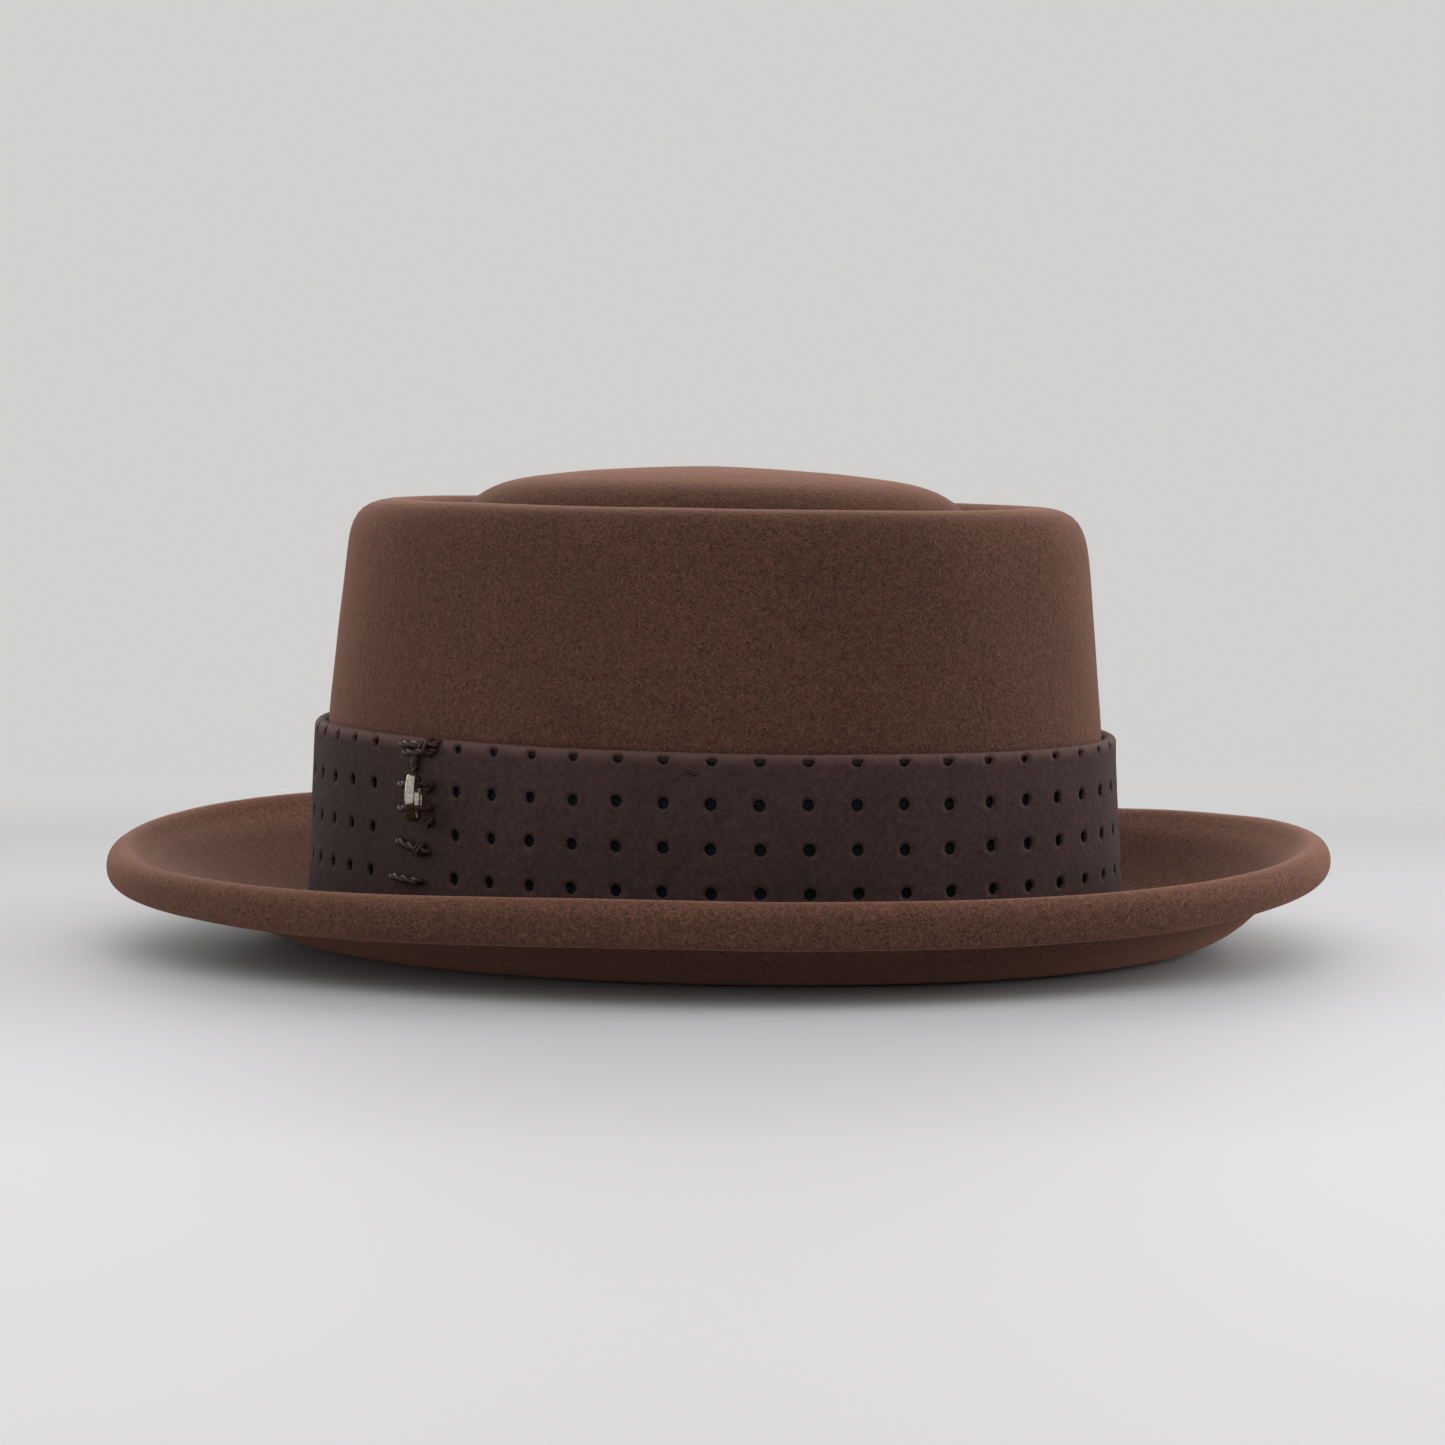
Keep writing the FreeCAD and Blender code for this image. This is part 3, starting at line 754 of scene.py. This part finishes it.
bmesh.ops.spin(bm, geom=section, cent=(0.0, 0.0, 0.0), axis=(0.0, 1.0, 0.0), angle=2.0 * math.pi,
               steps=96, use_merge=True)
bmesh.ops.remove_doubles(bm, verts=bm.verts, dist=0.001 * MM)
side = Vector((0.0, 0.0, 1.0))
turned = Matrix((reach, ring_axis, side)).transposed().to_4x4()
turned.translation = ring_middle
bmesh.ops.transform(bm, matrix=turned, verts=bm.verts)
ring = finish_piece(bm, "nickel_ring", nickel_material, "ring")
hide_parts("trim_ring")

# %% Two loops of thread that hold the ring
RING_TURN = math.radians(-92.2)
half_length, half_width = half_sizes(wall(30.0) + BAND_OUT)
away = Vector((math.cos(RING_TURN) / half_length, math.sin(RING_TURN) / half_width, 0.0)).normalized()
along = Vector((0.0, 0.0, 1.0)).cross(away)
for name, rise, knot in (("upper", 2.8, (7.0, 41.2)), ("lower", -2.8, (7.3, 33.2))):
    middle = hinge + Vector((0.0, 0.0, rise * MM))
    route = [middle - along * 4.0 * MM - away * 2.0 * MM, middle - along * 3.9 * MM - away * 0.8 * MM]
    for number in range(13):
        turn = math.pi * number / 12
        route.append(middle + (away * math.sin(turn) - along * math.cos(turn)) * 4.0 * MM)
    route += [middle + along * 3.9 * MM - away * 0.8 * MM, middle + along * 4.0 * MM - away * 2.0 * MM]
    bm = bmesh.new()
    thread_along(bm, curved(route, 3), 1.8)
    wraps(bm, knot, (1.0, -0.3), 0.9, 1.2, 1.5, 1.4)
    loop_piece = finish_piece(bm, "ring_loop_" + name + "_thread", thread_material, "hat")
    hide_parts("ring_loop_" + name)

# %% [markdown]
# ## Inside the crown
# A leather sweatband goes round the head, with a thin rolled welt at its lower edge and a row of
# stitches above that. Behind it the crown is lined with satin: a gathered side and a flat tip.
# These are only seen when the hat is turned over, but they are finished the same way.

# %% Sweatband leather
leather_material, shader, spot = new_material("smooth_sweatband_leather")
here = spot.outputs["Object"]
pores = add(leather_material, "TexVoronoi", {"Vector": here, "Scale": 1.0 / (0.9 * MM)})
tone = grain(leather_material, here, 14.0, 4.0, 0.6)
base = blend_colours(leather_material, tone.outputs["Fac"], colour("4b2e1e"), colour("6b4630"), 0.3, 0.7)
leather_bump = add(leather_material, "Bump", {"Strength": 0.3, "Distance": 0.12 * MM,
                                              "Height": pores.outputs["Distance"]})
set_inputs(leather_material, shader, Base_Color=base, Roughness=0.48, IOR=1.5,
           Normal=leather_bump.outputs["Normal"])
sweat_profile = [(-3.15, height) for height in (4.6, 12.7, 20.8, 28.9, 36.6, 37.0)]
sweat_profile += [(-4.25, height) for height in (37.0, 36.6, 28.9, 20.8, 12.7, 4.6)]


def sweat_place(step, turn):
    out, height = sweat_profile[step]
    return place(wall(height) + out, height, turn)


bm, first, last = pulled_ring(len(sweat_profile), 120, sweat_place, closed=True)
sweatband = finish_piece(bm, "sweatband_leather", leather_material, "hat",
                         smooth=False)
add_modifier(sweatband, "BEVEL", width=0.25 * MM, segments=2, limit_method="ANGLE")
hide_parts("sweatband")


def welt_place(step, turn):
    phase = 2.0 * math.pi * step / 12
    return place(-3.7 + math.cos(phase), 3.45 + math.sin(phase), turn)


bm, first, last = pulled_ring(12, 120, welt_place, closed=True)
welt = finish_piece(bm, "sweatband_welt_roll", leather_material, "hat")
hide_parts("sweatband_welt")

# %% Stitches of the sweatband
cotton_material, shader, spot = new_material("plain_cotton_thread")
lint = grain(cotton_material, spot.outputs["Object"], 0.4, 3.0)
base = blend_colours(cotton_material, lint.outputs["Fac"], colour("6e4c38"), colour("8d6a52"), 0.3, 0.7)
set_inputs(cotton_material, shader, Base_Color=base, Roughness=0.7)
bm = bmesh.new()
STITCHES = 72
for number in range(STITCHES):
    turn = 2.0 * math.pi * number / STITCHES
    middle = place(-4.6, 6.6, turn)
    ahead = (place(-4.6, 6.6, turn + 0.01) - middle).normalized()
    inward = ahead.cross(Vector((0.0, 0.0, 1.0)))
    grip = Matrix((ahead, inward, Vector((0.0, 0.0, 1.0)))).transposed().to_4x4()
    grip.translation = middle
    capsule = bmesh.ops.create_icosphere(bm, subdivisions=1, radius=0.32 * MM)["verts"]
    bmesh.ops.scale(bm, vec=(4.6, 1.0, 1.0), verts=capsule)
    bmesh.ops.transform(bm, matrix=grip, verts=capsule)
sweat_stitches = finish_piece(bm, "sweatband_stitch_row", cotton_material, "hat")
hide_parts("sweatband_stitches")

# %% Satin lining
satin_material, shader, spot = new_material("woven_satin_lining")
here = spot.outputs["Object"]
yarns = add(satin_material, "Mapping", {"Vector": here, "Scale": (1.0, 1.0, 0.12)})
floats = grain(satin_material, yarns.outputs["Vector"], 0.4, 3.0, 0.6)
base = blend_colours(satin_material, floats.outputs["Fac"], colour("43342d"), colour("5e4a40"), 0.3, 0.7)
satin_bump = add(satin_material, "Bump", {"Strength": 0.3, "Distance": 0.08 * MM,
                                          "Height": floats.outputs["Fac"]})
set_inputs(satin_material, shader, Base_Color=base, Roughness=0.38, Anisotropic=0.5, Sheen_Weight=0.3,
           Normal=satin_bump.outputs["Normal"])
lining_heights = [30.0 + 62.6 * number / 10.0 for number in range(11)]
lining_profile = [(-2.45, height) for height in lining_heights]
lining_profile += [(-2.95, height) for height in reversed(lining_heights)]


def lining_place(step, turn):
    out, height = lining_profile[step]
    gathers = 0.5 + 0.5 * math.sin(46.0 * turn + 1.4 * math.sin(5.0 * turn))
    pulled = limited((height - 38.0) / 30.0)
    return place(wall(height) + out - 1.1 * gathers * pulled, height, turn)


bm, first, last = pulled_ring(len(lining_profile), 240, lining_place, closed=True)
lining_side = finish_piece(bm, "lining_gathers", satin_material, "hat")
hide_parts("lining_side")
tip_insets = [-0.9, -2.2, -10.0, -24.0, -44.0, -66.0, -84.0]


def tip_place(step, turn):
    top = step >= len(tip_insets)
    inset = tip_insets[step] if not top else tip_insets[2 * len(tip_insets) - 1 - step]
    sag = 0.5 * limited((-inset - 2.0) / 40.0) + 0.25 * noise.noise(place(inset, 0.0, turn) * 40.0)
    height = 93.1 - 0.35 * sag + (0.5 if top else 0.0)
    return place(wall(92.6) - FELT + inset, height, turn)


bm, first, last = pulled_ring(2 * len(tip_insets), 96, tip_place, closed=True)
lining_tip = finish_piece(bm, "lining_tip_panel", satin_material, "hat")
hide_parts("lining_tip")

# %% [markdown]
# ## Floor, light and camera
# The hat stands on pale paper that fades into an even pale background. The paper is painted lighter
# towards the front and darker away from the camera, as painted light and shade. One wide light stands
# behind the hat and two at the sides, a little behind, so the brushed felt glows at its edges while its
# front stays darker. The camera is low, with a long lens.

# %% Floor that fades out
FADE_START, FADE_END = 0.48, 0.74
bm = bmesh.new()
bmesh.ops.create_circle(bm, cap_ends=True, segments=96, radius=3.0)
mesh = bpy.data.meshes.new("floor")
bm.to_mesh(mesh)
bm.free()
floor = bpy.data.objects.new("floor", mesh)
bpy.context.scene.collection.objects.link(floor)
floor_material, shader, spot = new_material("pale_paper")
tree = floor_material.node_tree
shifted = add(floor_material, "Mapping", {"Vector": spot.outputs["Object"],
                                          "Location": (-0.092, 0.092, 0.0)})
distance = add(floor_material, "VectorMath", {0: shifted.outputs["Vector"]}, operation="LENGTH")
fade = add(floor_material, "MapRange", {"Value": distance.outputs["Value"], "From Min": FADE_START,
                                        "From Max": FADE_END}, interpolation_type="SMOOTHSTEP")
turned_floor = add(floor_material, "Mapping", {"Vector": spot.outputs["Object"],
                                               "Rotation": (0.0, 0.0, math.radians(-45.0))})
axes = add(floor_material, "SeparateXYZ", {"Vector": turned_floor.outputs["Vector"]})
# painted light and shade: the paper is graded lighter at the front and darker away from the camera
far = add(floor_material, "MapRange", {"Value": axes.outputs["Y"], "From Min": -0.34, "From Max": 0.3})
paper = blend_colours(floor_material, far.outputs["Result"], colour("e8e7eb"), colour("9b9a9d"))
set_inputs(floor_material, shader, Base_Color=paper, Roughness=0.7, Specular_IOR_Level=0.2)
clear = add(floor_material, "BsdfTransparent", {})
mixed = add(floor_material, "MixShader", {0: fade.outputs["Result"], 1: shader.outputs["BSDF"],
                                          2: clear.outputs["BSDF"]})
tree.links.new(mixed.outputs["Shader"], tree.nodes["Material Output"].inputs["Surface"])
mesh.materials.append(floor_material)

# %% Background and lights
world = bpy.data.worlds.new("pale_room")
world.use_nodes = True
world.node_tree.nodes["Background"].inputs["Color"].default_value = colour("d1d0ce")
world.node_tree.nodes["Background"].inputs["Strength"].default_value = 1.0
bpy.context.scene.world = world
bpy.context.scene.view_settings.view_transform = "Standard"


def soft_light(name, position, width, height, power, tint):
    light = bpy.data.lights.new(name, "AREA")
    light.shape = "RECTANGLE"
    light.size, light.size_y, light.energy, light.color = width, height, power, tint
    lamp = bpy.data.objects.new(name, light)
    lamp.location = position
    lamp.rotation_euler = (Vector((0.0, 0.0, 0.05)) - lamp.location).to_track_quat("-Z", "Y").to_euler()
    lamp.visible_camera = False
    bpy.context.scene.collection.objects.link(lamp)
    print(name, power, "W")


view_back = Vector((-0.7071, 0.7071, 0.0))      # level, away from the camera
view_right = Vector((0.7071, 0.7071, 0.0))
soft_light("back", view_back * 1.5 + Vector((0.0, 0.0, 0.45)), 2.2, 0.7, 22.5, (1.0, 1.0, 1.0))
soft_light("right_side", view_back * 0.4 + view_right * 1.4 + Vector((0.0, 0.0, 0.5)), 0.9, 0.9, 11.0,
           (1.0, 1.0, 1.0))
soft_light("left_side", view_back * 0.4 - view_right * 1.4 + Vector((0.0, 0.0, 0.5)), 0.9, 0.9, 2.6,
           (1.0, 1.0, 1.0))

# %% Camera
CAMERA_DISTANCE, CAMERA_HEIGHT = 1.1, 0.1174
CAMERA_DOWN, CAMERA_ROLL = 0.0588, -0.0042       # in radians
camera_data = bpy.data.cameras.new("camera")
camera_data.lens = 111.0
camera_data.sensor_width = 36.0
camera = bpy.data.objects.new("camera", camera_data)
camera.location = -view_back * CAMERA_DISTANCE + view_right * 0.0034 + Vector((0.0, 0.0, CAMERA_HEIGHT))
aim = Matrix.Rotation(math.radians(45.0), 4, "Z") @ Matrix.Rotation(math.pi / 2.0 - CAMERA_DOWN, 4, "X")
camera.rotation_euler = (aim @ Matrix.Rotation(CAMERA_ROLL, 4, "Z")).to_euler()
bpy.context.scene.collection.objects.link(camera)
bpy.context.scene.camera = camera
